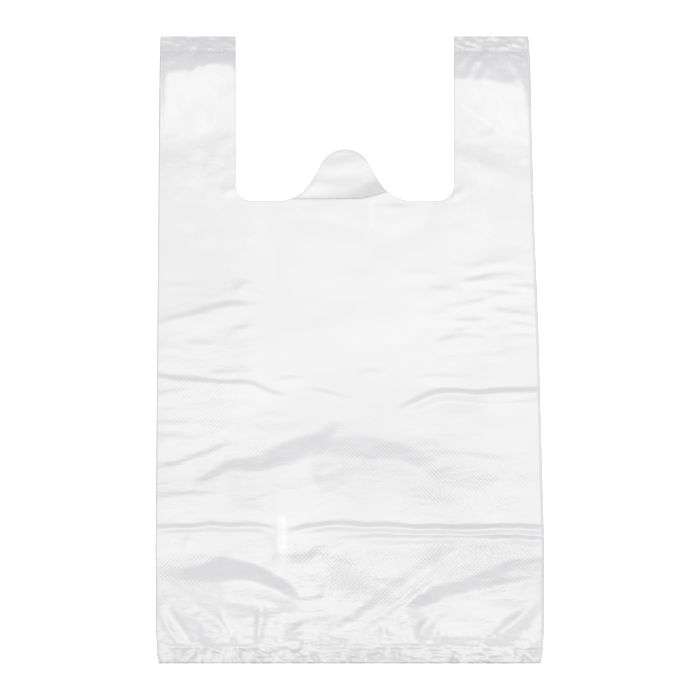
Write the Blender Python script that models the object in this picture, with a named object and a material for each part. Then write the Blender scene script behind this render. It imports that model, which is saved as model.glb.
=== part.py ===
# A vest carrier bag: one blown tube of polythene film, pressed flat with a fold tucked in down each side,
# welded shut across the bottom and across the top of each handle, and die-cut between the handles.
# It lies flat: X is its width, +Y runs from the bottom weld to the handles, and the floor is z = 0.
# All values are metres and radians.

import math

import bmesh
import bpy
from mathutils import Vector

# The film and the flat stack that it is folded into.
FILM = 0.00020              # wall of the tube
PITCH = 0.00060             # from one layer's middle to the next
LAYER_MIDDLES = [FILM / 2 + PITCH * level for level in range(4)]    # back, two gusset leaves, front
STACK = LAYER_MIDDLES[-1] + FILM / 2
FOLD_STEPS = 8              # facets round each fold

# The flat bag.
LENGTH = 0.5015             # from the bottom edge to the top of the handles
BOTTOM_Y = -LENGTH / 2
TOP_Y = LENGTH / 2
GUSSET_DEPTH = 0.0795       # how far each side is tucked in
FRONT_INSET_RIGHT = 0.0014  # the front fold lies this far inside the back one on the right

# How wide it lies, from the bottom up: distance along the bag, left fold, right fold.
WIDTH_STATIONS = [
    (BOTTOM_Y, -0.1528, 0.1524),
    (-0.2440, -0.1540, 0.1540),
    (-0.2250, -0.1550, 0.1552),
    (-0.1600, -0.1554, 0.1554),
    (-0.0700, -0.1546, 0.1530),
    (0.0200, -0.1540, 0.1506),
    (0.1000, -0.1533, 0.1474),
    (0.1700, -0.1528, 0.1454),
    (0.2300, -0.1520, 0.1442),
    (TOP_Y, -0.1514, 0.1426),
]

# Welds: one across the bottom and one near the top of each handle.
WELD_WIDTH = 0.0020
BOTTOM_WELD_Y = BOTTOM_Y + 0.0134
HANDLE_WELD_Y = TOP_Y - 0.0116
WELD_END_GAP = PITCH / 2 + FILM

# The die-cut mouth.
MOUTH_Y = 0.1192            # its straight lower edge
HANDLE_INNER_LEFT = -0.0914
HANDLE_INNER_RIGHT = 0.0832
HANDLE_TOP_LEAN = -0.0014   # the left handle's inner edge leans out by this much at the top
CORNER_RADIUS = 0.0125
TAB_MIDDLE_X = -0.0039
TAB_TOP_Y = 0.1608
TAB_DOME_RADIUS = 0.0215
TAB_FOOT_RADIUS = 0.0306
TAB_FLANK_ANGLE = math.radians(61)
ARC_STEP = math.radians(10)

# The front sheet has lost its tab: its edge runs straight across the tab's foot, rising on the right.
FRONT_EDGE_LEFT_Y = 0.1216
FRONT_EDGE_RIGHT_Y = 0.1262

OVERCUT = 0.0100            # how far a cutter runs past what it cuts


def clear_scene():
    for item in list(bpy.data.objects):
        bpy.data.objects.remove(item, do_unlink=True)


def make_material(name, color, roughness, metallic):
    material = bpy.data.materials.new(name)
    material.use_nodes = True
    shader = material.node_tree.nodes["Principled BSDF"]
    shader.inputs["Base Color"].default_value = (*color, 1.0)
    shader.inputs["Roughness"].default_value = roughness
    shader.inputs["Metallic"].default_value = metallic
    return material


def add_object(name, mesh_builder, material):
    mesh = bpy.data.meshes.new(name)
    mesh_builder.to_mesh(mesh)
    mesh_builder.free()
    item = bpy.data.objects.new(name, mesh)
    bpy.context.scene.collection.objects.link(item)
    if material is not None:
        mesh.materials.append(material)
    return item


def arc(center_x, center_y, radius, start, end, steps):
    """Points on an arc, both ends included."""
    angles = [start + (end - start) * step / steps for step in range(steps + 1)]
    return [(center_x + radius * math.cos(a), center_y + radius * math.sin(a)) for a in angles]


def fold(center_x, center_z, start, end, outward):
    """The film's middle line round one fold, as x, z and the outward direction there."""
    points = []
    for step in range(FOLD_STEPS + 1):
        angle = start + (end - start) * step / FOLD_STEPS
        x = center_x + PITCH / 2 * math.cos(angle)
        z = center_z + PITCH / 2 * math.sin(angle)
        points.append((x, z, outward * math.cos(angle), outward * math.sin(angle)))
    return points


def side_of_section(edge_back, edge_front, tuck):
    """One side of the tube's section, from the back sheet up to the front sheet: fold, gusset, fold."""
    back, lower_leaf, upper_leaf, front = LAYER_MIDDLES
    quarter = math.pi / 2
    points = fold(edge_back - PITCH / 2, (back + lower_leaf) / 2, -quarter, quarter, 1)
    points += fold(tuck + PITCH / 2, (lower_leaf + upper_leaf) / 2, -quarter, -3 * quarter, -1)
    points += fold(edge_front - PITCH / 2, (upper_leaf + front) / 2, -quarter, quarter, 1)
    return points


def section(left, right):
    """The whole section, going round once: up the right side and down the left."""
    right_side = side_of_section(right, right - FRONT_INSET_RIGHT, right - GUSSET_DEPTH)
    left_side = side_of_section(-left, -left, -left - GUSSET_DEPTH)
    mirrored = [(-x, z, -nx, nz) for x, z, nx, nz in reversed(left_side)]
    return right_side + mirrored


def film_tube():
    """The folded tube, one closed solid with an inside and an outside wall, open at both ends."""
    bm = bmesh.new()
    outer_rings = []
    inner_rings = []
    for y, left, right in WIDTH_STATIONS:
        outer = []
        inner = []
        for x, z, nx, nz in section(left, right):
            outer.append(bm.verts.new((x + nx * FILM / 2, y, z + nz * FILM / 2)))
            inner.append(bm.verts.new((x - nx * FILM / 2, y, z - nz * FILM / 2)))
        outer_rings.append(outer)
        inner_rings.append(inner)
    count = len(outer_rings[0])
    for station in range(len(WIDTH_STATIONS) - 1):
        for i in range(count):
            j = (i + 1) % count
            lower, upper = outer_rings[station], outer_rings[station + 1]
            bm.faces.new((lower[i], upper[i], upper[j], lower[j]))
            lower, upper = inner_rings[station], inner_rings[station + 1]
            bm.faces.new((lower[j], upper[j], upper[i], lower[i]))
    for i in range(count):
        j = (i + 1) % count
        outer, inner = outer_rings[0], inner_rings[0]
        bm.faces.new((outer[i], outer[j], inner[j], inner[i]))
        outer, inner = outer_rings[-1], inner_rings[-1]
        bm.faces.new((outer[j], outer[i], inner[i], inner[j]))
    bmesh.ops.recalc_face_normals(bm, faces=bm.faces)
    return bm


def add_box(bm, low, high):
    size = Vector(high) - Vector(low)
    made = bmesh.ops.create_cube(bm, size=1.0)
    bmesh.ops.scale(bm, vec=size, verts=made["verts"])
    bmesh.ops.translate(bm, vec=(Vector(high) + Vector(low)) / 2, verts=made["verts"])


def width_at(y):
    """The left and right folds at a distance along the bag."""
    for (y0, left0, right0), (y1, left1, right1) in zip(WIDTH_STATIONS, WIDTH_STATIONS[1:]):
        if y0 <= y <= y1:
            share = (y - y0) / (y1 - y0)
            return left0 + (left1 - left0) * share, right0 + (right1 - right0) * share
    raise ValueError("outside the bag")


def weld_bars():
    """What the welding bars fuse: the layers and the gaps between them, from the back film to the front."""
    bm = bmesh.new()
    low_z = LAYER_MIDDLES[0]
    high_z = LAYER_MIDDLES[-1]
    half = WELD_WIDTH / 2
    left, right = width_at(BOTTOM_WELD_Y)
    right -= FRONT_INSET_RIGHT
    add_box(bm, (left + WELD_END_GAP, BOTTOM_WELD_Y - half, low_z),
            (right - WELD_END_GAP, BOTTOM_WELD_Y + half, high_z))
    left, right = width_at(HANDLE_WELD_Y)
    right -= FRONT_INSET_RIGHT
    add_box(bm, (left + WELD_END_GAP, HANDLE_WELD_Y - half, low_z),
            (HANDLE_INNER_LEFT + OVERCUT, HANDLE_WELD_Y + half, high_z))
    add_box(bm, (HANDLE_INNER_RIGHT - OVERCUT, HANDLE_WELD_Y - half, low_z),
            (right - WELD_END_GAP, HANDLE_WELD_Y + half, high_z))
    return bm


def tab_outline():
    """The tab from its left foot over the dome to its right foot: arc, straight flank, arc, and back down."""
    turn = TAB_FLANK_ANGLE
    steps = round(turn / ARC_STEP)
    rise = (TAB_DOME_RADIUS + TAB_FOOT_RADIUS) * (1 - math.cos(turn))
    flank = (TAB_TOP_Y - MOUTH_Y - rise) / math.sin(turn)
    foot_reach = (TAB_DOME_RADIUS + TAB_FOOT_RADIUS) * math.sin(turn) + flank * math.cos(turn)
    quarter = math.pi / 2
    dome = arc(TAB_MIDDLE_X, TAB_TOP_Y - TAB_DOME_RADIUS, TAB_DOME_RADIUS,
               quarter + turn, quarter - turn, 2 * steps)
    left_foot = arc(TAB_MIDDLE_X - foot_reach, MOUTH_Y + TAB_FOOT_RADIUS, TAB_FOOT_RADIUS,
                    -quarter, -quarter + turn, steps)
    right_foot = [(2 * TAB_MIDDLE_X - x, y) for x, y in reversed(left_foot)]
    return left_foot + dome + right_foot


def mouth_outline():
    """The piece that the die takes out, going round from the top of the left handle's inner edge."""
    above = TOP_Y + OVERCUT
    steps = round(math.pi / 2 / ARC_STEP)
    left_corner = arc(HANDLE_INNER_LEFT + CORNER_RADIUS, MOUTH_Y + CORNER_RADIUS, CORNER_RADIUS,
                      math.pi, 1.5 * math.pi, steps)
    right_corner = arc(HANDLE_INNER_RIGHT - CORNER_RADIUS, MOUTH_Y + CORNER_RADIUS, CORNER_RADIUS,
                       -math.pi / 2, 0, steps)
    outline = [(HANDLE_INNER_LEFT + HANDLE_TOP_LEAN, above)]
    outline += left_corner + tab_outline() + right_corner
    outline.append((HANDLE_INNER_RIGHT, above))
    return outline


def prism(outline, low_z, high_z):
    """A closed prism over an outline in the XY plane."""
    bm = bmesh.new()
    base = bm.faces.new([bm.verts.new((x, y, low_z)) for x, y in outline])
    grown = bmesh.ops.extrude_face_region(bm, geom=[base])
    moved = [item for item in grown["geom"] if isinstance(item, bmesh.types.BMVert)]
    bmesh.ops.translate(bm, vec=(0, 0, high_z - low_z), verts=moved)
    bmesh.ops.recalc_face_normals(bm, faces=bm.faces)
    return bm


def front_tab_outline():
    """What the front sheet has lost: all of it above a line across the tab's foot."""
    left, right = HANDLE_INNER_LEFT / 2, HANDLE_INNER_RIGHT / 2
    above = TAB_TOP_Y + OVERCUT
    middle = TAB_MIDDLE_X
    return [(left, FRONT_EDGE_LEFT_Y), (middle, FRONT_EDGE_LEFT_Y), (right, FRONT_EDGE_RIGHT_Y),
            (right, above), (left, above)]


def shape_with(item, tool, operation):
    """Join or cut an object with a hidden tool shape."""
    tool.hide_render = True
    tool.display_type = "WIRE"
    change = item.modifiers.new(tool.name, "BOOLEAN")
    change.object = tool
    change.operation = operation
    change.solver = "EXACT"


clear_scene()

film = make_material("milky_film", (0.87, 0.87, 0.88), 0.38, 0.0)
carrier_bag = add_object("carrier_bag", film_tube(), film)

shape_with(carrier_bag, add_object("weld_bars", weld_bars(), None), "UNION")

mouth_cutter = add_object("mouth_cutter", prism(mouth_outline(), -OVERCUT, STACK + OVERCUT), None)
shape_with(carrier_bag, mouth_cutter, "DIFFERENCE")

front_tab_cutter = add_object("front_tab_cutter", prism(front_tab_outline(), STACK / 2, STACK + OVERCUT), None)
shape_with(carrier_bag, front_tab_cutter, "DIFFERENCE")

print("carrier bag", LENGTH, "m long, stack", round(STACK, 4), "m")
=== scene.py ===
import math

import bmesh
import bpy
import numpy as np
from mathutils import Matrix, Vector, noise
from mathutils.bvhtree import BVHTree


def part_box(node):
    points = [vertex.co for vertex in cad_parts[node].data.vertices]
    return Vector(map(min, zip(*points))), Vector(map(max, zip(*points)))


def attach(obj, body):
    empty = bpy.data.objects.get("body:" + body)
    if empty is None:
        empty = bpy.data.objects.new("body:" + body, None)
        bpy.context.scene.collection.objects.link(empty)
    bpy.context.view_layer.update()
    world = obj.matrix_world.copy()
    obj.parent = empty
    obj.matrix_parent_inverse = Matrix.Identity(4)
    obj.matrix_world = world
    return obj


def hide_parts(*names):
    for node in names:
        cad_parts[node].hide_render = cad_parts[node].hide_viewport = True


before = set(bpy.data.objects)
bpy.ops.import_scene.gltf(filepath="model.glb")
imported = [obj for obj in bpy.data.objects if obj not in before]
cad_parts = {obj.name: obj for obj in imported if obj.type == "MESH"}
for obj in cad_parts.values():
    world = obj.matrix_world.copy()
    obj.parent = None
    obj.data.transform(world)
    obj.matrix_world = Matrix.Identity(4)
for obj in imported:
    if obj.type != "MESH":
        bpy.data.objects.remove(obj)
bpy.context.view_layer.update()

# A flat, empty vest carrier bag of milky film, lying front sheet up on a pale table.
# +Y runs from the bottom weld to the handles. Lengths are metres unless a note says mm.

bagLow, bagHigh = (np.array(corner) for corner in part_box("carrier_bag"))
bagMiddle = (bagLow + bagHigh) / 2
mm = 0.001


class Wire:
    # One output of a shader or geometry node. Arithmetic on it adds Math nodes.
    def __init__(self, desk, socket):
        self.desk = desk
        self.socket = socket

    def __add__(self, other):
        return self.desk.maths("ADD", self, other)

    def __sub__(self, other):
        return self.desk.maths("SUBTRACT", self, other)

    def __rsub__(self, other):
        return self.desk.maths("SUBTRACT", other, self)

    def __mul__(self, other):
        return self.desk.maths("MULTIPLY", self, other)

    __radd__ = __add__
    __rmul__ = __mul__

    def sine(self):
        return self.desk.maths("SINE", self)

    def size(self):
        return self.desk.maths("ABSOLUTE", self)


class Desk:
    # Where one node tree is laid out.
    def __init__(self, tree):
        self.tree = tree

    def feed(self, target, value):
        if isinstance(value, Wire):
            self.tree.links.new(value.socket, target)
        else:
            target.default_value = value

    def node(self, kind, settings=None, inputs=None):
        made = self.tree.nodes.new(kind)
        for name, value in (settings or {}).items():
            setattr(made, name, value)
        for name, value in (inputs or {}).items():
            self.feed(made.inputs[name], value)
        return made

    def wire(self, kind, settings=None, inputs=None, output=0):
        return Wire(self, self.node(kind, settings, inputs).outputs[output])

    def maths(self, operation, *values):
        return self.wire("ShaderNodeMath", {"operation": operation}, dict(enumerate(values)))

    def attribute(self, name):
        return self.wire("ShaderNodeAttribute", {"attribute_name": name}, output="Fac")

    def noise(self, place, scale, detail, roughness=0.5, output="Fac"):
        inputs = {"Vector": place, "Scale": scale, "Detail": detail, "Roughness": roughness}
        return self.wire("ShaderNodeTexNoise", inputs=inputs, output=output)

    def stretched(self, place, scale, turn):
        inputs = {"Vector": place, "Scale": scale, "Rotation": (0, 0, turn)}
        return self.wire("ShaderNodeMapping", inputs=inputs)

    def span(self, value, low, high):
        # 0 below low, 1 above high.
        return self.wire("ShaderNodeMapRange", inputs={"Value": value, "From Min": low, "From Max": high})

    def blend(self, share, first, second):
        # A mix of two colours.
        return self.wire("ShaderNodeMix", {"data_type": "RGBA"}, {0: share, 6: first, 7: second}, 2)

    def bump(self, height):
        return self.wire("ShaderNodeBump", inputs={"Height": height, "Strength": 1.0, "Distance": 1.0})

    def chance(self, low, high, seed):
        inputs = {2: low, 3: high, "Seed": seed}
        return self.wire("FunctionNodeRandomValue", {"data_type": "FLOAT"}, inputs, 1)


def inScene(name, data):
    made = bpy.data.objects.new(name, data)
    bpy.context.scene.collection.objects.link(made)
    return made


def finalMesh(carrier, name):
    # The mesh that the carrier's modifiers make. The carrier itself is removed.
    depsgraph = bpy.context.evaluated_depsgraph_get()
    mesh = bpy.data.meshes.new_from_object(carrier.evaluated_get(depsgraph), depsgraph=depsgraph)
    mesh.name = name
    bpy.data.objects.remove(carrier)
    mesh.shade_smooth()
    return mesh


def newMaterial(name):
    material = bpy.data.materials.new(name)
    material.use_nodes = True
    return material, material.node_tree.nodes["Principled BSDF"]


# The bag's outline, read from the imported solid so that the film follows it.
outline = {
    "gussetDepth": 0.0795,  # how far each side is tucked in
    "frontInsetRight": 0.0014,  # the front fold lies this far inside the back one on the right
    "frontEdge": 0.0017,  # the front sheet's torn edge, above the mouth's straight edge
    "frontEdgeRise": 0.0055,  # more at its right end,
    "frontEdgeBend": 0.0080,  # from this far right of the bag's middle
    "frontEdgeRun": 0.0210,
    "frontEdgeReach": 1.2,  # where it stops rising, in such runs
    "frontEdgeCurve": 1.3,
    "tabReach": 0.3,  # how near the mouth's middle the tab lies, as a share of its width
    "cornerRadius": 0.0125,  # of the mouth's lower corners
    "bottomWeld": 0.0134,  # from the bottom edge
    "handleWeld": 0.0116,  # from the top edge
    "leftStray": 0.006,  # how far inside the bag's box a fold may run
    "rightStray": 0.016,
    "weldClear": 0.002,  # nearer a weld than this, a station is left out
    "backSkin": 0.00005,  # the underside is within this of the lowest point
    "mouthAbove": 0.4,  # the mouth's place, as shares of half the bag's length and width
    "mouthWithin": 0.7,
    "handleTops": 0.050,  # what is nearer the top edge than this is not the mouth
}


def readOutline():
    # Where the folds run, from the bottom up, and the mouth's edge in the back sheet, from the left.
    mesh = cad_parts["carrier_bag"].data
    points = np.array([vertex.co[:] for vertex in mesh.vertices])
    stations = {}
    for x, y, z in points:
        stations.setdefault(round(y, 4), []).append(x)
    welds = (bagLow[1] + outline["bottomWeld"], bagHigh[1] - outline["handleWeld"])
    ys = []
    for y, xs in sorted(stations.items()):
        wide = min(xs) < bagLow[0] + outline["leftStray"] and max(xs) > bagHigh[0] - outline["rightStray"]
        if wide and min(abs(y - weld) for weld in welds) > outline["weldClear"]:
            ys.append(y)
    left = [min(stations[y]) for y in ys]
    right = [max(stations[y]) for y in ys]
    x, y, z = points.T
    inside = (z < bagLow[2] + outline["backSkin"]) & (np.abs(x) < outline["mouthWithin"] * bagHigh[0])
    inside &= (y > outline["mouthAbove"] * bagHigh[1]) & (y < bagHigh[1] - outline["handleTops"])
    cut = np.unique(np.round(points[inside, :2], 6), axis=0)
    return np.array(ys), np.array(left), np.array(right), cut


foldYs, leftFolds, rightFolds, mouthCut = readOutline()
innerLeft = mouthCut[0, 0]
innerRight = mouthCut[-1, 0]
mouthMiddle = (innerLeft + innerRight) / 2
handleFoot = mouthCut[:, 1][[0, -1]].max()  # the handles' straight inner edges begin here
mouthFloor = mouthCut[:, 1].min()
bottomWeldY = bagLow[1] + outline["bottomWeld"]
handleWeldY = bagHigh[1] - outline["handleWeld"]
print("outline read:", len(foldYs), "stations,", len(mouthCut), "points round the mouth")


def leftFold(y):
    return np.interp(y, foldYs, leftFolds)


def rightFold(y):
    return np.interp(y, foldYs, rightFolds)


def tuckLeft(y):
    return leftFold(y) + outline["gussetDepth"]


def tuckRight(y):
    return rightFold(y) - outline["gussetDepth"]


def backTop(x):
    return np.interp(x, mouthCut[:, 0], mouthCut[:, 1])


def frontTop(x):
    # The front sheet has no tab: a torn edge runs across the tab's foot and rises at the right.
    share = np.clip((x - outline["frontEdgeBend"]) / outline["frontEdgeRun"], 0, outline["frontEdgeReach"])
    torn = mouthFloor + outline["frontEdge"] + outline["frontEdgeRise"] * share ** outline["frontEdgeCurve"]
    nearTab = np.abs(x - mouthMiddle) < outline["tabReach"] * (innerRight - innerLeft)
    return np.where(nearTab, np.minimum(backTop(x), torn), backTop(x))


# How the film lies: pleats in mm about the bag's middle. Each has how crisp its crest is, and then its route
# in rows of x, y, rise, and how far it slopes down on its left and on its right. What a row leaves out at
# its end is as in the row before.
pleats = {
    # handles
    "leftHandlePuff": (0.8, [(-160, 217, 5.4, 34, 46), (-142, 222, 6, 29, 48), (-126, 224, 6.2, 27, 50),
        (-117, 226, 6.3, 25), (-112, 229, 6.2, 22), (-103, 227, 6, 24, 48), (-90, 220, 5.4, 31, 44)]),
    "leftHandleStreak": (0.9, [(-104, 238, 0, 2.5, 2.5), (-98, 230, 0.7), (-92, 224, 0)]),
    "leftHandleRib": (0.8, [(-152, 226, 0, 3, 3), (-144, 232, 0.6), (-134, 236, 0)]),
    "leftHandleUpper": (0.5, [(-149, 170, 0, 8, 14), (-136, 179, 0.4), (-117, 191, 0.5, 8, 16),
        (-88, 209, 0.4)]),
    "leftHandleLower": (0.6, [(-148, 141, 0, 12, 4), (-125, 135, 0.3, 14, 5), (-110, 138),
        (-90, 146, 0.2, 12, 4)]),
    "leftHandleRising": (0.6, [(-117, 150, 0, 8, 4), (-107, 159, 0.2), (-92, 171)]),
    "leftHandleFoot": (0.7, [(-104, 125, 0, 4, 4), (-97, 127, 0.7), (-88, 129, 0.4)]),
    "leftHandleTuck": (0.9, [(-127, 221, 0.2, 3, 3), (-123, 229, 0.9, 3, 4), (-120, 237, 0.3, 3, 3)]),
    "rightHandlePuff": (0.8, [(80, 217, 5.4, 34, 44), (97, 216, 6, 35, 48), (112, 215.5, 6.4, 36),
        (125, 213, 6.6, 38, 44), (136, 208, 6.2, 40, 40), (150, 201, 5, 42, 36)]),
    "rightHandlePeak": (0.9, [(92, 216, 0.3, 4, 3), (99, 226, 1, 4, 4), (104, 232, 1.2), (109, 226, 0.8),
        (111, 219, 0, 3, 3)]),
    "rightHandleUpper": (0.6, [(83, 195, 0.2, 14, 5), (103, 180, 0.3, 16), (122, 172, 0.3, 14),
        (137, 166, 0, 12, 4)]),
    "rightHandleLower": (0.6, [(83, 157, 0.6, 12, 12), (112, 146, 1, 13, 14), (136, 138, 0.3, 10, 12)]),
    "rightHandleFoot": (0.8, [(80, 121, 0, 3, 3), (84, 124, 0.8, 3, 4), (92, 125, 0, 3, 3)]),
    "rightHandleBend": (0.8, [(84, 224, 0, 3, 4), (90, 231, 0.8), (98, 238, 0.2)]),
    "rightHandleCorner": (0.9, [(121, 241, 0.4, 5, 3), (127, 230, 1.3, 7), (138, 212, 0.4, 5)]),
    # upper body
    "shortRight1": (0.8, [(38, 60, 0, 2.2, 7), (55, 61, 0.3, 2.2, 8), (72, 61, 0, 2.2, 7)]),
    "shortRight2": (0.8, [(84, 52, 0, 2.2, 8), (100, 55, 0.4, 2.2, 9), (114, 59, 0.5),
        (142, 59, 0, 2.2, 8)]),
    "shortRight3": (0.8, [(62, 49, 0, 2.2, 6), (76, 47, 0.3, 2.2, 7), (92, 46, 0, 2.2, 6)]),
    "shortRight4": (0.8, [(104, 52, 0, 2.2, 8), (130, 50, 0.4), (154, 50, 0.3)]),
    "shortRight5": (0.8, [(98, 39, 0, 2.2, 8), (112, 34, 0.4, 2.6, 9), (124, 30, 0.5),
        (148, 27, 0.2, 2.2, 8)]),
    "shortRight6": (0.7, [(64, 4, 0, 2.4, 9), (81, 8, 0.5, 2.6, 10), (96, 10), (118, 9, 0, 2.4, 9)]),
    "shortRight7": (0.7, [(78, 11, 0, 2.2, 5), (92, 16, 0.4, 2.2, 6), (106, 20, 0, 2.2, 5)]),
    "shortRight8": (0.8, [(112, 25, 0, 2.2, 8), (135, 19, 0.5, 2.6, 9), (152, 15, 0.3, 2.2)]),
    "shortLeft1": (0.7, [(-156, 20, 0.5, 4, 9), (-128, 26, 0.9, 4, 12), (-109, 32, 1),
        (-94, 35, 0.9, 4, 10), (-74, 35, 0, 3, 8)]),
    "shortLeft2": (0.8, [(-97, 46, 0, 3, 5), (-89, 49, 0.6, 3, 6), (-81, 53, 0, 3, 5)]),
    "shortLeft3": (0.8, [(-99, 13, 0, 3, 6), (-87, 16, 0.6, 3, 7), (-75, 18, 0, 3, 6)]),
    # the creases across the middle
    "middleLeft": (0.85, [(-156, -22, 0.8, 3.4, 10), (-128, -25, 1, 3.4, 12), (-100, -27),
        (-79, -29, 0.9, 3.4, 10), (-61, -36, 0.7, 3.4, 9), (-47, -39, 0, 3, 8)]),
    "middleLeftLower": (0.8, [(-156, -37, 0.6, 4, 9), (-138, -34, 0.8, 4, 10), (-122, -34, 0, 4, 8)]),
    "middleShort1": (0.9, [(-62, -25, 0, 2, 4), (-49, -23, 0.35), (-36, -24, 0)]),
    "middleShort2": (0.9, [(-40, -31, 0, 2, 5), (-20, -35, 0.45), (2, -41, 0)]),
    "middleRight": (0.9, [(38, -49, 0, 3, 4), (50, -44, 1, 3.2, 5), (64, -38, 1.4, 3.4, 6), (77, -34),
        (96, -36, 1.5), (125, -35, 1.6, 3.6), (157, -34, 1.5)]),
    "middleRightLower": (0.8, [(100, -42, 0, 3, 8), (120, -41, 0.6, 3, 9), (157, -38)]),
    "middleFaint": (0.8, [(5, -18, 0, 3, 7), (18, -18, 0.4, 3, 8), (31, -18, 0, 3, 7)]),
    "leftBand1": (0.7, [(-156, -60, 0.5, 4, 8), (-138, -60, 0.6), (-118, -59, 0)]),
    "leftBand2": (0.7, [(-156, -70, 0.5, 4, 8), (-138, -70, 0.6), (-118, -71, 0)]),
    # the billows below them
    "billowLeft": (0.8, [(-126, -110, 0, 4, 10), (-112, -104, 1, 5, 16), (-96, -98, 1.7, 8, 24),
        (-78, -98, 2.3, 12, 28), (-48, -91, 3.4, 16, 34), (-22, -82, 3.4, 18, 30), (-12, -68, 1.4, 11, 22),
        (-8, -58, 0, 8, 14)]),
    "billowRight": (0.8, [(-30, -104, 0, 10, 16), (-20, -98, 2, 16, 24), (-5, -91, 3.2, 19, 32),
        (15, -88, 3.6, 18, 34), (38, -89, 3.2, 14), (57, -98, 3, 14, 30), (72, -106, 2.6, 17, 26),
        (96, -112, 1.8, 20, 22), (125, -113, 0, 16, 16)]),
    "billowFoot": (0.7, [(50, -84, 0, 4, 7), (70, -85, 0.6, 4, 8), (92, -85), (112, -88, 0.5),
        (135, -92, 0, 4, 7)]),
    "billowNip": (0.85, [(-154, -95, 0.5, 2.4, 6), (-138, -92, 0.7, 2.4, 7), (-120, -84, 0.8, 2.4, 8),
        (-102, -78, 0.7), (-84, -76, 0, 2.4, 6)]),
    "leftLow1": (0.75, [(-156, -118, 0.6, 4, 9), (-128, -117, 0.8, 4, 10), (-104, -116, 0.6, 4, 9),
        (-94, -113, 0, 3, 8)]),
    "leftLow2": (0.75, [(-90, -124, 0, 3, 6), (-78, -121, 0.6), (-66, -118, 0)]),
    # one hard fold right across, and its echo
    "hardFoldLeft": (0.95, [(-158, -145, 1, 3.2, 3.2), (-136, -142, 1.1), (-100, -142), (-70, -143, 0.9),
        (-60, -146, 0, 3, 3)]),
    "hardFoldRight": (0.95, [(-52, -146, 0, 3, 3), (-30, -143, 1, 3.2, 3.2), (-7, -141, 1.2, 3.4, 3.4),
        (47, -143, 1.4, 3.6), (100, -143, 1.5), (158, -143)]),
    "hardFoldEcho": (0.9, [(-10, -151, 0, 3, 3), (30, -151, 0.9, 3.6, 4), (80, -151, 1), (158, -151)]),
    "uprightRub": (0.5, [(-55, -166, 0, 6, 6), (-56, -150, 0.4), (-57, -130, 0)]),
    # the big slopes near the bottom
    "cornerFold": (0.9, [(-158, -178, 0.3, 9, 26), (-136, -183, 1.7, 9, 32), (-120, -185, 3.4, 13, 38),
        (-101, -186, 5.4, 20, 42), (-90, -185, 5.2, 17, 38), (-80, -185.5, 4.6, 14, 34),
        (-67, -189, 4, 12, 28), (-52, -197, 3.2, 10, 20), (-41, -203, 0.6, 6, 12)]),
    "textureWedge": (0.6, [(-60, -166, 0, 6, 10), (-44, -171, 1.1, 7, 14), (-30, -169, 1.3, 8, 16),
        (-16, -157, 0, 6, 12)]),
    "wedgeRidge": (0.7, [(-25, -210, 0, 5, 4), (-19, -192, 0.9, 6), (-13, -175, 0, 5)]),
    "longDiagonal": (0.9, [(-22, -233, 0, 6, 8), (-2, -221, 0.8, 7, 9), (16, -210, 1.2, 8),
        (40, -193, 1.3, 9), (64, -173, 0.8, 8), (80, -163, 0.4, 7), (95, -155, 0, 6, 8)]),
    "diagonalEcho": (0.85, [(0, -229, 0, 3, 3), (22, -214, 0.7), (46, -196, 0.8), (70, -177, 0.6),
        (84, -168, 0)]),
    "rightFold": (0.95, [(44, -211, 0, 3, 20), (56, -206, 2.2, 8, 30), (68, -202, 3.2, 12, 34),
        (79, -198, 3, 11, 36), (92, -194.5, 2.9, 10, 38), (111, -189.5, 3.4, 13), (132, -186, 3.6, 17, 36),
        (158, -182, 2, 18, 34)]),
    "rightLeaf": (0.95, [(107, -234, 0, 1.5, 6), (116, -229.5, 1.6, 5, 8), (125, -224, 2.6, 7.5, 10),
        (136, -214.5, 2.2, 6), (145, -204.5, 0.8, 3, 6)]),
    "rightTuck": (0.8, [(130, -152, 0, 4, 4), (141, -158, -0.9), (154, -165, -0.4)]),
    "lowerTick": (0.9, [(53, -234, 0.3, 2, 2), (59, -222, 1.6, 5, 6), (70, -211, 0.6, 4, 5)]),
    "cornerValley": (0.9, [(-127, -239, 0, 3, 4), (-136, -226, -1.7, 4, 5), (-142, -216, -1.5, 4, 6),
        (-150, -202, 0, 3, 5)]),
    "cornerRidge": (0.8, [(-134, -238, 0, 3, 4), (-143, -224, 1, 3, 5), (-150, -208, 0.3)]),
    "cornerWedge": (0.6, [(-131, -210, 0.4, 5, 14), (-116, -220, 1.9, 8, 16), (-104, -229, 1.9, 6, 12),
        (-95, -236, 0.6, 3, 8)]),
    "lowerRib": (0.9, [(-93, -230, 0, 2.5, 2.5), (-99, -217, 0.8, 2.5, 3), (-105, -206, 0, 2.5, 2.5)]),
    "lowerUpright": (0.9, [(-72.5, -238, 0.2, 2, 2), (-73, -222, 1.6, 2.5, 6), (-72, -210, 1.6, 2.5, 6.5),
        (-68, -204, 0, 2, 4)]),
    "lowerSlant": (0.8, [(-55, -235, 0, 2, 4), (-44, -225, 0.9, 3, 6), (-34, -216, 0, 2, 4)]),
    "lowerZigzag": (0.95, [(-99, -202.5, 0.2, 2, 2.5), (-92, -201, 0.9), (-84, -204, 0.4, 2, 2),
        (-72, -204, 0.7, 2, 2.5), (-66, -206, 0, 2, 2)]),
    "lowerZigzagEcho": (0.95, [(-81, -206.5, 0, 2, 2), (-73, -208.5, 0.7, 2, 2.5), (-66, -210.5, 0, 2, 2)]),
    "weldRib1": (0.9, [(72, -216, 0, 2, 2), (73.5, -228, 0.9, 2, 3), (75, -240, 0.3, 2, 2)]),
    "weldRib2": (0.9, [(24, -216, 0, 2, 2), (28, -227, 1, 2, 3), (30, -240, 0.3, 2, 2)]),
    "weldRib3": (0.9, [(-97, -222, 0, 2, 2), (-96, -231, 0.8, 2, 3), (-95, -242, 0.2, 2, 2)]),
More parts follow.
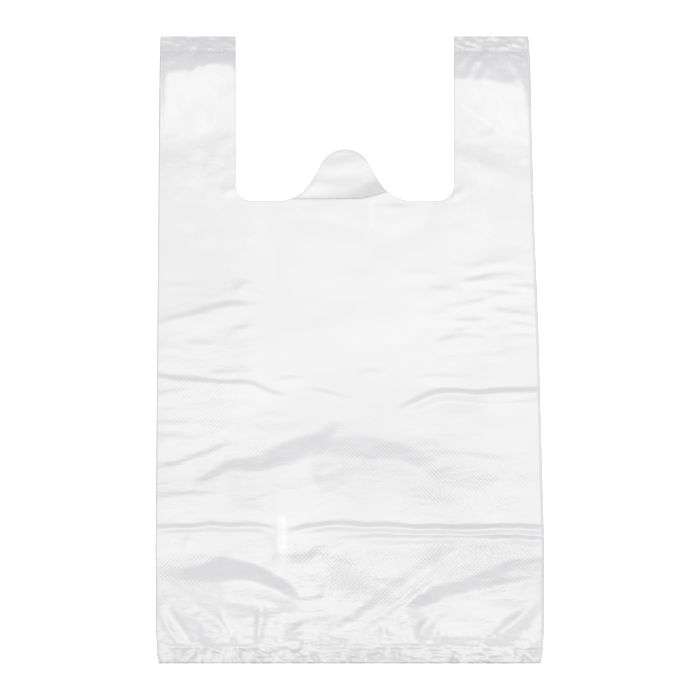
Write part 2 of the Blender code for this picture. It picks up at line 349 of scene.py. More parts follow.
    "weldRib4": (0.9, [(-13, -218, 0, 2, 2), (-16, -228, 0.7, 2, 3), (-18, -240, 0.2, 2, 2)]),
}

# The back sheet's own shape where the tab stands clear of the front sheet.
tabPleats = {
    "foot": (0.85, [(-44, 118, 0, 3, 16), (-18, 120, 0.3, 4, 18), (0, 121, 1.1, 5, 20),
        (12, 122, 2.4, 7, 24), (22, 124, 3.4, 9, 26), (30, 127, 3.3), (40, 127, 2.6, 8), (54, 122, 1),
        (66, 120, 0, 8, 20)]),
    "frontFoot": (0.2, [(-30, 120, 0, 30, 16), (-8, 120, 0.9, 30, 20), (10, 120, 2.2, 30, 26),
        (26, 120, 3.2, 30, 30), (40, 120, 2.4, 30, 28), (62, 120, 0, 30, 20)]),
    "foldAcross": (0.8, [(-32, 146, 0.2, 5, 9), (-10, 148, 0.5, 5, 10), (8, 151, 0.4, 6),
        (20, 152, 0.2, 5, 9)]),
    "lowerFold": (0.7, [(-34, 133, 0.2, 4, 8), (-12, 132, 0.5, 5), (6, 133, 0.4, 4), (14, 135, 0)]),
    "leftCorner": (0.8, [(-38, 124, 0.3, 4, 4), (-28, 132, 0.5), (-20, 124, 0)]),
}

# Small creases of the same film, set at random where it is most handled.
crinkles = {
    "seed": 11,
    "crisp": 0.8,
    "bow": 0.15,  # how far the middle strays, as a share of half the length
    "steepSide": (1.9, 3.2),  # how far the film slopes down on either side, in mm
    "gentleSide": (3, 7),
    "groups": [
        # count, x range, y range, length, rise, turn from level in degrees
        (26, (-150, 150), (-215, -60), (12, 34), (0.15, 0.45), 28),
        (14, (-150, -80), (-55, 60), (22, 55), (0.10, 0.24), 8),
        (8, (-70, 70), (-58, -24), (24, 60), (0.06, 0.16), 8),
        (26, (72, 150), (-30, 75), (24, 64), (0.10, 0.26), 9),
        (10, (-150, -95), (120, 235), (10, 24), (0.10, 0.30), 40),
        (12, (86, 144), (120, 238), (10, 24), (0.15, 0.40), 50),
        (22, (-150, 150), (-238, -215), (8, 18), (0.20, 0.50), 75),
    ],
}

# The slow shape under the pleats, in mm. A grain is how long and how high one swell or crease is.
drape = {
    "pleatScale": 0.85,
    "routeStep": 1.6,
    "crest": 1.0,  # what a crest is rounded over
    "lowest": 0.05,
    "strayX": (1.6, (16, 12), 30.5),  # how far pleats stray, the grain of that and its seed
    "strayY": (1.3, (19, 14), 41.5),
    "swell": 0.45,
    "swellBase": 0.6,
    "swells": [(1.0, (95, 42), 3.1), (0.35, (30, 13), 8.4)],  # share, grain, seed
}

# How much the film has been crumpled in use, from 0 to 1. Each range is where that comes in, in mm.
handling = {
    "lowerBody": (-30, -105),
    "gussetSides": (72, 84),
    "gussetsBelow": (75, 20),
    "gussetShare": 0.35,
    "handles": (125, 150),
    "handleShare": 0.28,
    "everywhere": 0.04,
    "evenShare": 0.75,
    "unevenShare": 0.6,
    "unevenGrain": ((60, 34), 17.5),
    "weldShare": 0.8,  # more beside the welds
    "weldReach": 0.009,  # metres
}

# The creases that this leaves: flat plates of three sizes, in mm.
creases = {
    "strayX": (5, (22, 12), 21.5),
    "strayY": (3, (26, 13), 4.5),
    # rise, how x leans with y, how y leans with x, grain, seed
    "plates": [(1.15, 0.0, 0.0, (58, 20), 2.5), (0.24, 0.25, 0.0, (27, 7.5), 7.5)],
    "lowerPlates": (0.34, -0.5, 0.3, (15, 19), 14.5),
    "lowerBody": (-120, -170),
    "flattest": 0.7,  # a plate's middle is no higher than this
}

# Short upright gathers, in mm, beside each weld and out to the free edge.
gathering = {
    "bottomStrip": 0.9,
    "bottomReach": 0.008,  # metres
    "handleStrip": 0.8,
    "handleReach": 0.007,  # metres
    "leftByWeld": 0.35,  # the share that the sealing bar leaves
    "weldHalf": 0.0022,  # metres
    "stray": (3, (9, 9), 33.5),
    "rise": 1.9,
    "finerShare": 0.7,
    "finerLean": 0.5,
    "crossRise": 1.2,
    "crossLean": 0.2,
    "drop": 0.5,
    "coarse": ((7, 15), 1.7),
    "fine": ((5, 8), 5.2),
    "cross": ((13, 5), 12.5),
}

# Painted highlights: bright streaks along creases and ridges and over rubbed spots.
paintedHighlights = [
    # x, y, turn from upright in degrees, half width, half length in mm, how strongly
    (-54.5, -148, 0, 4.5, 17, 0.38),
    (-53.0, -146, 0, 1.2, 15, 0.50),
    (17.5, 109, 0, 2.6, 12, 0.30),
    (-41.5, 115, 0, 1.6, 5, 0.25),
    (-60.5, 67, 0, 1.2, 12, 0.12),
    (38, -193, -56, 1.3, 66, 0.30),
    (48, -199, -56, 1.2, 52, 0.22),
    (-139, -218, 30, 1.6, 18, 0.22),
    (-98, -217, 24, 1.0, 11, 0.25),
    (27, -224, 18, 1.0, 10, 0.25),
    (-13, -196, -12, 2.2, 20, 0.15),
    (-110, 144, -66, 1.1, 17, 0.25),
    (-135, 137.5, -93, 1.0, 10, 0.25),
    (105, 185, 55, 1.7, 22, 0.25),
    (133, 170.5, 79, 1.5, 11, 0.22),
]
highlightFade = {"across": (0.6, 1.1), "along": (0.7, 1.1)}  # in half widths and half lengths

# Where the rollers' pattern shows most.
embossZones = [
    # x, y, half width, half length in mm, how strongly
    (-60, -76, 60, 18, 0.5),
    (30, -84, 60, 18, 0.9),
    (95, -104, 50, 26, 0.7),
    (-36, -164, 22, 10, 1.0),
    (30, -178, 58, 24, 1.0),
    (95, -172, 60, 20, 1.0),
    (-118, -46, 40, 30, 0.5),
    (-120, -176, 40, 14, 0.6),
    (120, -20, 30, 40, 0.2),
]
embossElsewhere = 0.06
embossFade = (0.7, 1.2)  # in half widths and half lengths


def easeIn(value, start, end):
    share = np.clip((value - start) / (end - start), 0, 1)
    return share * share * (3 - 2 * share)


def aboutMiddle(x, y):
    # From metres to mm about the bag's middle.
    return (x - bagMiddle[0]) / mm, (y - bagMiddle[1]) / mm


def slowNoise(x, y, grain, seed):
    # Smooth noise from -1 to 1 over places in mm.
    return np.array([noise.noise(Vector((a / grain[0], b / grain[1], seed))) for a, b in zip(x, y)])


def strayed(x, y, byX, byY):
    # Places in mm, moved a little; byX and byY are how far, the grain of that and its seed.
    return x + byX[0] * slowNoise(x, y, *byX[1:]), y + byY[0] * slowNoise(x, y, *byY[1:])


def plates(x, y, grain, seed):
    # Flat plates with straight creases between them: 0 on a crease, more inside a plate.
    places = zip(x / grain[0], y / grain[1])
    spans = (noise.voronoi(Vector((a, b, seed)))[0] for a, b in places)
    return np.array([min(span[1] - span[0], creases["flattest"]) for span in spans])


def smoothRoute(rows):
    # A Catmull-Rom curve through the rows; rise and slopes go along with x and y.
    full = [rows[0]]
    for row in rows[1:]:
        full.append((*row, *full[-1][len(row):]))
    rows = np.array(full, float)
    rows = np.vstack([2 * rows[0] - rows[1], rows, 2 * rows[-1] - rows[-2]])
    made = []
    for a, b, c, d in zip(rows, rows[1:], rows[2:], rows[3:]):
        count = max(2, int(np.hypot(*(c - b)[:2]) / drape["routeStep"]))
        t = (np.arange(count) / count)[:, None]
        cubic = (3 * b - a - 3 * c + d) * t ** 3
        made.append(0.5 * (2 * b + (c - a) * t + (2 * a - 5 * b + 4 * c - d) * t ** 2 + cubic))
    made.append(rows[-2:-1])
    return np.vstack(made)


def pleatRise(x, y, crisp, route):
    # The height that one pleat adds at each place, all in mm.
    path = smoothRoute(route)
    reach = path[:, 3:5].max()
    near = (x > path[:, 0].min() - reach) & (x < path[:, 0].max() + reach)
    near &= (y > path[:, 1].min() - reach) & (y < path[:, 1].max() + reach)
    rise = np.zeros_like(x)
    if not near.any():
        return rise
    tangent = np.gradient(path[:, :2], axis=0)
    tangent /= np.linalg.norm(tangent, axis=1)[:, None]
    gapX = x[near][:, None] - path[None, :, 0]
    gapY = y[near][:, None] - path[None, :, 1]
    nearest = np.argmin(gapX ** 2 + gapY ** 2, axis=1)
    pick = np.arange(len(nearest))
    dx, dy = gapX[pick, nearest], gapY[pick, nearest]
    along = dx * tangent[nearest, 0] + dy * tangent[nearest, 1]
    across = tangent[nearest, 0] * dy - tangent[nearest, 1] * dx
    past = (nearest == 0) | (nearest == len(path) - 1)
    distance = np.where(past, np.hypot(dx, dy), np.abs(across))
    width = np.where(across > 0, path[nearest, 3], path[nearest, 4])
    crest = drape["crest"]
    share = np.clip((np.sqrt(distance ** 2 + crest ** 2) - crest) / width, 0, 1)
    tent = 1 - share
    soft = tent ** 2 * (1 + 2 * share)
    height = np.interp(nearest + along / drape["routeStep"] * (~past), np.arange(len(path)), path[:, 2])
    rise[near] = height * (crisp * tent + (1 - crisp) * soft)
    return rise


def crinkleRoutes():
    chance = np.random.default_rng(crinkles["seed"])
    routes = []
    for count, xs, ys, lengths, rises, turn in crinkles["groups"]:
        for _ in range(count):
            x, y = chance.uniform(*xs), chance.uniform(*ys)
            half = chance.uniform(*lengths) / 2
            angle = math.radians(chance.normal(0, turn))
            bow = chance.uniform(-crinkles["bow"], crinkles["bow"]) * half
            rise = chance.uniform(*rises)
            slopes = chance.uniform(*crinkles["steepSide"]), chance.uniform(*crinkles["gentleSide"])
            cos, sin = math.cos(angle), math.sin(angle)
            routes.append([(x - half * cos, y - half * sin, 0.0, *slopes),
                           (x - bow * sin, y + bow * cos, rise, *slopes),
                           (x + half * cos, y + half * sin, 0.0, *slopes)])
    return routes


def handledShare(x, y):
    # Most near the bottom, then along the gussets and in the handles, least in the middle.
    lower = easeIn(y, *handling["lowerBody"])
    gusset = easeIn(np.abs(x), *handling["gussetSides"]) * easeIn(y, *handling["gussetsBelow"])
    handle = handling["handleShare"] * easeIn(y, *handling["handles"])
    uneven = handling["evenShare"] + handling["unevenShare"] * slowNoise(x, y, *handling["unevenGrain"])
    share = np.maximum(lower, handling["gussetShare"] * gusset) + handle
    return np.clip(share * uneven + handling["everywhere"], 0, 1)


def crumple(x, y):
    # Small creases of every size, mostly level, in mm.
    overX, overY = strayed(x, y, creases["strayX"], creases["strayY"])

    def layer(rise, leanX, leanY, grain, seed):
        return rise * plates(overX + leanX * overY, overY + leanY * overX, grain, seed)

    rise = sum(layer(*size) for size in creases["plates"])
    rise += layer(*creases["lowerPlates"]) * easeIn(y, *creases["lowerBody"])
    return rise * handledShare(x, y)


def filmHeight(x, y):
    # Height of the front sheet over the pressed stack, in mm, at places in metres.
    xs, ys = aboutMiddle(x, y)
    height = crumple(xs, ys)
    xs, ys = strayed(xs, ys, drape["strayX"], drape["strayY"])
    for crisp, route in pleats.values():
        height += drape["pleatScale"] * pleatRise(xs, ys, crisp, route)
    for route in crinkleRoutes():
        height += pleatRise(xs, ys, crinkles["crisp"], route)
    swell = sum(share * slowNoise(xs, ys, grain, seed) for share, grain, seed in drape["swells"])
    height += drape["swell"] * (drape["swellBase"] + swell)
    return np.maximum(height, drape["lowest"])


def gathers(x, y):
    fromBottom, fromHandle = np.abs(y - bottomWeldY), np.abs(y - handleWeldY)
    low = np.where(y < bottomWeldY, gathering["bottomStrip"], np.exp(-fromBottom / gathering["bottomReach"]))
    high = np.where(y > handleWeldY, gathering["handleStrip"], np.exp(-fromHandle / gathering["handleReach"]))
    clear = easeIn(fromBottom, 0, gathering["weldHalf"]) * easeIn(fromHandle, 0, gathering["weldHalf"])
    away = gathering["leftByWeld"] + (1 - gathering["leftByWeld"]) * clear
    xs, ys = x / mm, y / mm
    far, grain, seed = gathering["stray"]
    slanted = xs + far * slowNoise(xs, ys, grain, seed)
    upright = plates(slanted, ys, *gathering["coarse"])
    leaning = plates(slanted + gathering["finerLean"] * ys, ys, *gathering["fine"])
    cross = plates(xs, ys + gathering["crossLean"] * xs, *gathering["cross"])
    rise = gathering["rise"] * (upright + gathering["finerShare"] * leaning)
    return (rise + gathering["crossRise"] * cross - gathering["drop"]) * (low + high) * away


# The film's mesh.
film = {
    "thickness": 0.00008,
    "frontStep": 0.0022,  # between columns of the front sheet
    "backStep": 0.0080,
    "tabStep": 0.0024,  # between the back sheet's columns where the mouth cuts it
    "leafStep": 0.0125,
    "cornerTurn": 15,  # degrees between columns round the mouth's corners
    "coarseRows": 5,  # layers under the front sheet keep one row in this many, and every row
    "belowMouth": 0.004,  # from this far below where the rows begin to bend
    "aboveFoot": 0.006,  # to this far above the handles' feet,
    "belowTopWeld": 0.012,  # and from this far below the handles' welds up
    "foldFacets": 3,
    "edgeStrip": 0.0009,  # a narrow strip along every fold and cut edge
    "bendBelow": 0.024,  # the rows bend to meet the mouth from this far below it
    "sharpAngle": 60,  # degrees; steeper edges are not shaded smooth
    # rows from the bottom up: up to this y, this far apart, both in mm about the middle
    "rows": [(-227, 1.2), (-212, 1.6), (-152, 1.8), (-137, 1.0), (-114, 1.9), (-50, 1.9), (-18, 1.2),
             (10, 1.9), (62, 1.5), (117, 3.0), (131.7, 1.8), (210, 2.3), (233, 1.5), (251, 1.1)],
}

# How the four layers lie on one another. Level 0 is the back sheet, 1 and 2 the gusset leaves, 3 the front.
stack = {
    "pitch": (bagHigh[2] - bagLow[2]) / 3.33,
    "weldedPitch": 0.45,  # share of the pitch that is pressed out at a weld
    "offTable": 0.12,  # mm
    "backBelow": 0.5,  # levels below this are the back sheet
    "frontAbove": 2.2,  # levels above this are the front sheet and its folds
    "follow": (0.10, 0.30, 0.50, 1.00),  # share of the front sheet's height that each layer takes
    "gathersFollow": (0.15, 0.30, 0.50, 1.00),
    "weldedFollow": 0.9,
    "tabFollow": 0.2,  # of the back sheet round the tab,
    "tabBelow": 0.004,  # from this far below the mouth
    "tabAside": 0.045,  # and this far to either side
    "foldShare": 0.8,  # share of the height that is left at a fold
    "foldReach": 0.006,
    "middleSag": 0.35,  # mm that the front sheet drops between the gussets
    "sagOver": (-0.009, 0.012),
    "weldReach": 0.009,  # how far the layers come together beside a weld
    "weldGroove": 0.25,  # mm
    "grooveWidth": 0.0013,
    "lowestDrop": (0.05, 0.2),  # mm that a layer may sink, and more for each level above the back
}

# The back sheet's tab raises the front sheet over its foot, and the front's torn edge gapes a little.
tornEdge = {
    "tabClear": (-0.007, 0.001),  # y about the mouth's floor over which the tab comes clear
    "gape": 0.9,  # mm
    "gapeMiddle": -0.001,
    "gapeHalf": 0.015,
    "gapeOver": (-0.007, 0.003),
}

# Painted shade along the film's edges, from 0 to 1: the dark outline at folds, cut edges and the hem, partly
# the stacked layers' overlap and partly the shade and shadow of the folds' turn.
paintedEdgeShades = {
    "hem": 1.0,
    "hemWidth": 1.5,  # in edge strips
    "handleTop": 0.45,
    "mouth": 0.30,
    "fold": 0.55,
    "stripShade": 0.10,  # painted crinkle shade in the strips outside the welds
    "crushedEase": 0.003,
    "crushedBase": 0.6,
    "crushedRise": 0.7,
    "crushedMost": 1.4,
}


def layOut(span, step, strip):
    # Shares across a span: a narrow strip at both ends, even steps between.
    inner = span - 2 * strip
    count = max(1, round(inner / step))
    places = [0.0, *(strip + inner * i / count for i in range(count + 1)), span]
    return np.array(places) / span


def layOutMouth(span, step, cornerAtEnd=True):
    # The same between the handles, with the columns closing up where the corners curve.
    radius = outline["cornerRadius"]
    corner = [radius * (1 - math.cos(math.radians(turn))) for turn in range(0, 90, film["cornerTurn"])]
    last = span - radius if cornerAtEnd else span
    count = max(1, round((last - radius) / step))
    places = corner + [radius + (last - radius) * i / count for i in range(count + 1)]
    if cornerAtEnd:
        places += [span - offset for offset in reversed(corner)]
    return np.array(places) / span


def rowPlaces():
    # Each row's y before the rows bend, and the number of the one where the handles begin.
    strip = film["edgeStrip"] / mm
    ys = [bagLow[1] / mm, bagLow[1] / mm + strip]
    for limit, step in film["rows"]:
        start = ys[-1]
        limit = min(limit, bagHigh[1] / mm - strip)
        if limit > start:
            count = max(1, round((limit - start) / step))
            ys += [start + (limit - start) * (i + 1) / count for i in range(count)]
    ys.append(bagHigh[1] / mm)
    ys = np.array(ys) * mm
    foot = int(np.argmin(np.abs(ys - handleFoot)))
    ys[foot] = handleFoot
    return ys, foot


rowYs, footRow = rowPlaces()
bendFrom = mouthFloor - film["bendBelow"]
handleWidth = innerLeft - leftFold(0.0)
foldRadius = stack["pitch"] / 2


def steady(x):
    # A line straight up the bag. Every line gives its x at any y.
    return lambda y: x + 0 * y


def shifted(line, offset):
    return lambda y: line(y) + offset


def between(low, high, share):
    return lambda y: low(y) + share * (high(y) - low(y))


def column(line, level, top=None, fine=False):
    # One upright line of points. Only a column with no top of its own goes on up a handle.
    return {"line": line, "level": level, "top": top, "fine": fine}


def sheetColumns(step, top, level, inset):
    # The front or the back sheet from left to right: handle, body below the mouth, handle.
    fine = level == 3
    left, right = shifted(leftFold, foldRadius), shifted(rightFold, -inset - foldRadius)
    mouthLeft, mouthRight = steady(innerLeft), steady(innerRight)
    handleShares = layOut(handleWidth, step, film["edgeStrip"])
    mouthShares = layOutMouth(innerRight - innerLeft, min(step, film["tabStep"]))
    columns = [column(between(left, mouthLeft, share), level, fine=fine) for share in handleShares]
    for share in mouthShares[1:]:
        ownTop = None if share == 1.0 else top
        columns.append(column(between(mouthLeft, mouthRight, share), level, ownTop, fine))
    columns += [column(between(mouthRight, right, share), level, fine=fine) for share in handleShares[1:]]
    return columns


def leafColumns(side, level):
    # One gusset leaf from its outer fold inwards, on the left or on the right.
    if side < 0:
        edge, inner, tuck = shifted(leftFold, foldRadius), steady(innerLeft), shifted(tuckLeft, -foldRadius)
    else:
        inset = outline["frontInsetRight"] if level == 2 else 0.0
        edge, inner = shifted(rightFold, -inset - foldRadius), steady(innerRight)
        tuck = shifted(tuckRight, foldRadius)
    handleShares = layOut(handleWidth, film["leafStep"], film["edgeStrip"])
    bodyShares = layOutMouth(outline["gussetDepth"] - handleWidth, 2 * film["tabStep"], False)
    columns = [column(between(edge, inner, share), level) for share in handleShares[1:]]
    columns += [column(between(inner, tuck, share), level, backTop) for share in bodyShares[1:]]
    return columns


def foldColumns(line, side, level, top=None):
    # Round one fold, from one layer to the next; side is where the fold points.
    columns = []
    for step in range(1, film["foldFacets"]):
        angle = math.pi * (step / film["foldFacets"] - 0.5)
        bulge = side * foldRadius * (math.cos(angle) - 1)
        height = level + 0.5 + 0.5 * math.sin(angle)
        columns.append(column(shifted(line, bulge), height, top, level == 2))
    return columns


def tubeColumns():
    # Once round the tube: back sheet, right side up, front sheet, left side down.
    inset = outline["frontInsetRight"]
    back = sheetColumns(film["backStep"], backTop, 0, 0.0)
    front = sheetColumns(film["frontStep"], frontTop, 3, inset)
    columns = list(back)
    columns += foldColumns(rightFold, 1, 0)
    columns += [back[-1] | {"level": 1}] + leafColumns(1, 1)
    columns += foldColumns(tuckRight, -1, 1, backTop)
    columns += leafColumns(1, 2)[::-1] + [front[-1] | {"level": 2, "fine": False}]
    columns += foldColumns(shifted(rightFold, -inset), 1, 2)
    columns += front[::-1]
    columns += foldColumns(leftFold, -1, 2)[::-1]
    columns += [front[0] | {"level": 2, "fine": False}] + leafColumns(-1, 2)
    columns += foldColumns(tuckLeft, 1, 1, backTop)[::-1]
    columns += leafColumns(-1, 1)[::-1] + [back[0] | {"level": 1}]
    columns += foldColumns(leftFold, -1, 0)[::-1]
    return columns


def paintedEdgeShade(x, y, onHandle):
    # The painted edge shade on one column's points at the hem, at the top, and along folds and the handles'
    # insides.
    strip = film["edgeStrip"]
    hem = paintedEdgeShades["hem"] * np.clip(paintedEdgeShades["hemWidth"] - (y - y[0]) / strip, 0, 1)
    cut = paintedEdgeShades["handleTop"] if onHandle else paintedEdgeShades["mouth"]
    cut = cut * np.clip(1 - (y[-1] - y) / strip, 0, 1)
    fromEdge = np.minimum(x - leftFold(y), rightFold(y) - x)
    fromInside = np.minimum(np.abs(x - innerLeft), np.abs(x - innerRight))
    fromEdge = np.where(y > handleFoot, np.minimum(fromEdge, fromInside), fromEdge)
    side = paintedEdgeShades["fold"] * np.clip(1 - fromEdge / strip, 0, 1)
    return np.maximum.reduce([side, cut, hem])


def layFlat(columns):
    # Every point's x, y, level and painted edge shade, and for each column its points by row.
    full = (rowYs > bendFrom - film["belowMouth"]) & (rowYs < handleFoot + film["aboveFoot"])
    full |= rowYs > handleWeldY - film["belowTopWeld"]
    coarse = {*range(0, len(rowYs), film["coarseRows"]), *np.flatnonzero(full).tolist()}
    coarse |= {1, 2, len(rowYs) - 2, len(rowYs) - 1, footRow}
    parts, index = [], []
    count = 0
    for item in columns:
        onHandle = item["top"] is None
        last = len(rowYs) if onHandle else footRow + 1
        kept = [row for row in range(last) if item["fine"] or row in coarse]
        y = rowYs[kept]
        x = item["line"](y)
        if not onHandle:
            top = item["top"](x[-1:])[0]
            high = y > bendFrom
            y[high] = bendFrom + (y[high] - bendFrom) * (top - bendFrom) / (handleFoot - bendFrom)
        index.append({row: count + i for i, row in enumerate(kept)})
        count += len(kept)
        parts.append((x, y, np.full(len(kept), item["level"], float), paintedEdgeShade(x, y, onHandle)))
    return *(np.concatenate(part) for part in zip(*parts)), index


def pinched(y):
    # 1 where a weld holds the four layers together and out to the free edge, 0 in the body.
    low = 1 - easeIn(y, bottomWeldY, bottomWeldY + stack["weldReach"])
    high = easeIn(y, handleWeldY - stack["weldReach"], handleWeldY)
    return low + high


def fromWeld(y):
    return np.minimum(np.abs(y - bottomWeldY), np.abs(y - handleWeldY))


def tabLift(x, y, level):
    # What the tab's own folds add, in mm, to the back sheet and to the front sheet that lies over its foot.
    clear = easeIn(y - mouthFloor, *tornEdge["tabClear"])
    onBack = np.where(level < stack["backBelow"], 1, 0)
    shares = {"foot": clear, "frontFoot": 1 - clear}
    lift = np.zeros_like(x)
    for name, (crisp, route) in tabPleats.items():
        lift += pleatRise(*aboutMiddle(x, y), crisp, route) * shares.get(name, onBack)
    gape = np.exp(-((x - tornEdge["gapeMiddle"]) / tornEdge["gapeHalf"]) ** 2)
    gape *= easeIn(y - mouthFloor, *tornEdge["gapeOver"])
    return lift + np.where(level > stack["frontAbove"], tornEdge["gape"] * gape, 0)


def raiseFilm(x, y, level, gathered):
    # The height of every point: its place in the stack, and its share of what the front sheet does.
    pinch = pinched(y)
    front = level > stack["frontAbove"]
    fromFold = np.minimum(x - leftFold(y), rightFold(y) - x)
    height = filmHeight(x, y)
    height *= stack["foldShare"] + (1 - stack["foldShare"]) * easeIn(fromFold, 0, stack["foldReach"])
    roundTab = (y > mouthFloor - stack["tabBelow"]) & (np.abs(x - mouthMiddle) < stack["tabAside"])
    follow = np.interp(level, range(4), stack["follow"])
    follow = np.where(roundTab & (level < stack["backBelow"]), stack["tabFollow"], follow)
    follow = np.where(front, follow, follow + (stack["weldedFollow"] - follow) * pinch)
    groove = stack["weldGroove"] * np.exp(-(fromWeld(y) / stack["grooveWidth"]) ** 2)
    lift = height * follow + gathered * np.interp(level, range(4), stack["gathersFollow"]) - groove
    sag = easeIn(x - tuckLeft(y), *stack["sagOver"]) * easeIn(tuckRight(y) - x, *stack["sagOver"])
    lift -= np.where(front, stack["middleSag"] * sag * (1 - pinch), 0)
    lift += tabLift(x, y, level)
    least, more = stack["lowestDrop"]
    lift = np.maximum(lift, -more * level - least)
    pitch = stack["pitch"] * (1 - stack["weldedPitch"] * pinch)
    return bagLow[2] + (stack["offTable"] + lift) * mm + pitch * level


def facesBetween(index):
    # Faces between neighbouring columns, round the tube, where one column may have more rows than the next.
    faces = []
    for a, b in zip(index, index[1:] + index[:1]):
        shared = sorted(a.keys() & b.keys())
        for low, high in zip(shared, shared[1:]):
            up = [a[row] for row in range(low, high + 1) if row in a]
            down = [b[row] for row in range(high, low - 1, -1) if row in b]
            faces.append(up + down)
    return faces


# Painted shade in the crinkled strips outside the welds, darker where the gathers rise.
def weldStripShade(y, gathered):
    ease = paintedEdgeShades["crushedEase"]
    strip = easeIn(y, bottomWeldY + ease, bottomWeldY - ease)
    strip += easeIn(y, handleWeldY - ease, handleWeldY + ease)
    uneven = paintedEdgeShades["crushedRise"] * np.clip(gathered, 0, paintedEdgeShades["crushedMost"])
    return paintedEdgeShades["stripShade"] * strip * (paintedEdgeShades["crushedBase"] + uneven)


def handledNear(x, y):
    seams = np.exp(-fromWeld(y) / handling["weldReach"])
    return np.clip(handledShare(*aboutMiddle(x, y)) + handling["weldShare"] * seams, 0, 1)


# Painted highlights: how strongly each point is brightened.
def highlightShare(x, y):
    xs, ys = aboutMiddle(x, y)
    pale = np.zeros_like(x)
    for markX, markY, turn, halfWidth, halfLength, strength in paintedHighlights:
        cos, sin = math.cos(math.radians(turn)), math.sin(math.radians(turn))
        right, up = xs - markX, ys - markY
        across = np.abs(right * cos + up * sin) / halfWidth
        along = np.abs(up * cos - right * sin) / halfLength
        fade = (1 - easeIn(across, *highlightFade["across"])) * (1 - easeIn(along, *highlightFade["along"]))
        pale = np.maximum(pale, strength * fade)
    return pale


def embossShare(x, y):
    xs, ys = aboutMiddle(x, y)
    emboss = np.full_like(x, embossElsewhere)
    for zoneX, zoneY, halfWidth, halfLength, strength in embossZones:
        apart = np.hypot((xs - zoneX) / halfWidth, (ys - zoneY) / halfLength)
        emboss = np.maximum(emboss, strength * (1 - easeIn(apart, *embossFade)))
    return emboss


def buildFilm():
    columns = tubeColumns()
    x, y, level, edge, index = layFlat(columns)
    gathered = gathers(x, y)
    z = raiseFilm(x, y, level, gathered)
    faces = facesBetween(index)
    mesh = bpy.data.meshes.new("bagFilm")
    mesh.from_pydata(np.column_stack([x, y, z]).tolist(), [], faces)
    # painted shade along the edges and in the weld strips goes in as an attribute
    tones = {"paintedEdgeShade": np.maximum(edge, weldStripShade(y, gathered)), "handled": handledNear(x, y),
             # painted highlights go in as an attribute
             "paintedHighlight": highlightShare(x, y), "emboss": embossShare(x, y)}
    for name, values in tones.items():
        tone = mesh.attributes.new(name, "FLOAT", "POINT")
        tone.data.foreach_set("value", values.astype(np.float32))
    mesh.shade_smooth()
    print("film laid out:", len(columns), "columns,", len(rowYs), "rows,", len(faces), "faces")
    return mesh


def thicken(mesh, name, thickness):
    # A closed film of even thickness, as one plain mesh.
    sheet = inScene(name + "Sheet", mesh)
    wall = sheet.modifiers.new("wall", "SOLIDIFY")
    wall.thickness = thickness
    wall.offset = 0
    solid = finalMesh(sheet, name)
    solid.set_sharp_from_angle(angle=math.radians(film["sharpAngle"]))
    return inScene(name, solid)


filmLook = {
    "color": (0.87, 0.87, 0.875, 1),
    "thinColor": (0.885, 0.885, 0.89, 1),
    # painted shade: the dark outline along folds, cut edges and the hem
    "edgeShadeColor": (0.42, 0.42, 0.43, 1),
    # painted shade: darker where the film is most handled, for the sheen it loses there
    "lostSheenShade": (0.78, 0.78, 0.785, 1),
    # painted highlight colour
    "highlightColor": (1.0, 1.0, 1.0, 1),
    "lostSheenShare": 0.5,
    "clingShare": 0.15,
    "clingAbove": (0.0, 0.06),  # y over which the clinging patches come in
    "clingAside": (0.065, 0.085),  # and how far from the middle
    "roughness": 0.27,
    "roughnessSpread": 0.10,
    "alpha": 0.93,
    "refraction": 1.5,
    "embossPitch": 0.0024,
    "embossDepth": 0.00009,
    "crossRibs": 0.45,  # the fainter ribs, as a share of the others
    "embossPatches": 0.6,  # how much of the pattern comes and goes
    "creaseDepth": 0.0003,  # of the smallest creases, where the film is most handled
    "wrinkleDepth": 0.00004,
}


def rollerPattern(desk, place, x, y):
    # Diagonal ribs with fainter ones across them, clearer in some patches.
    turn = 2 * math.pi / (filmLook["embossPitch"] * math.sqrt(2))
    ribs = ((x + y) * turn).sine() + ((x - y) * turn).sine() * filmLook["crossRibs"]
    patches = desk.span(desk.noise(place, 18.0, 2.0), 0.46, 0.62)
    patches = patches * filmLook["embossPatches"] + (1 - filmLook["embossPatches"])
    return ribs * patches * desk.attribute("emboss") * filmLook["embossDepth"]


def smallCreases(desk, place, handled):
    # Flat plates, mostly level, with straight edges.
    wander = desk.noise(place, 70.0, 2.0, output="Color")
    wander = desk.wire("ShaderNodeVectorMath", {"operation": "SCALE"}, {0: wander, "Scale": 0.008})
    moved = desk.wire("ShaderNodeVectorMath", {"operation": "ADD"}, {0: place, 1: wander})
    grain = {"Vector": desk.stretched(moved, (70.0, 230.0, 1.0), 0.05), "Scale": 1.0}
    edges = desk.wire("ShaderNodeTexVoronoi", {"feature": "DISTANCE_TO_EDGE"}, grain)
    return edges * handled * filmLook["creaseDepth"]


def fineWrinkles(desk, place):
    grain = desk.stretched(place, (14.0, 110.0, 1.0), 0.06)
    return desk.noise(grain, 1.0, 4.0, 0.62) * filmLook["wrinkleDepth"]


def highlightsAndCling(desk, place, x, y):
    # Painted highlights along creases and rubs, and ragged patches where the sheets cling together in the
    # handles and the upper body.
    cling = desk.span(desk.noise(place, 52.0, 6.0, 0.62), 0.53, 0.57)
    upper = desk.span(y, *filmLook["clingAbove"])
    aside = desk.span(x.size(), *filmLook["clingAside"])
    return desk.attribute("paintedHighlight") + cling * upper * aside * filmLook["clingShare"]


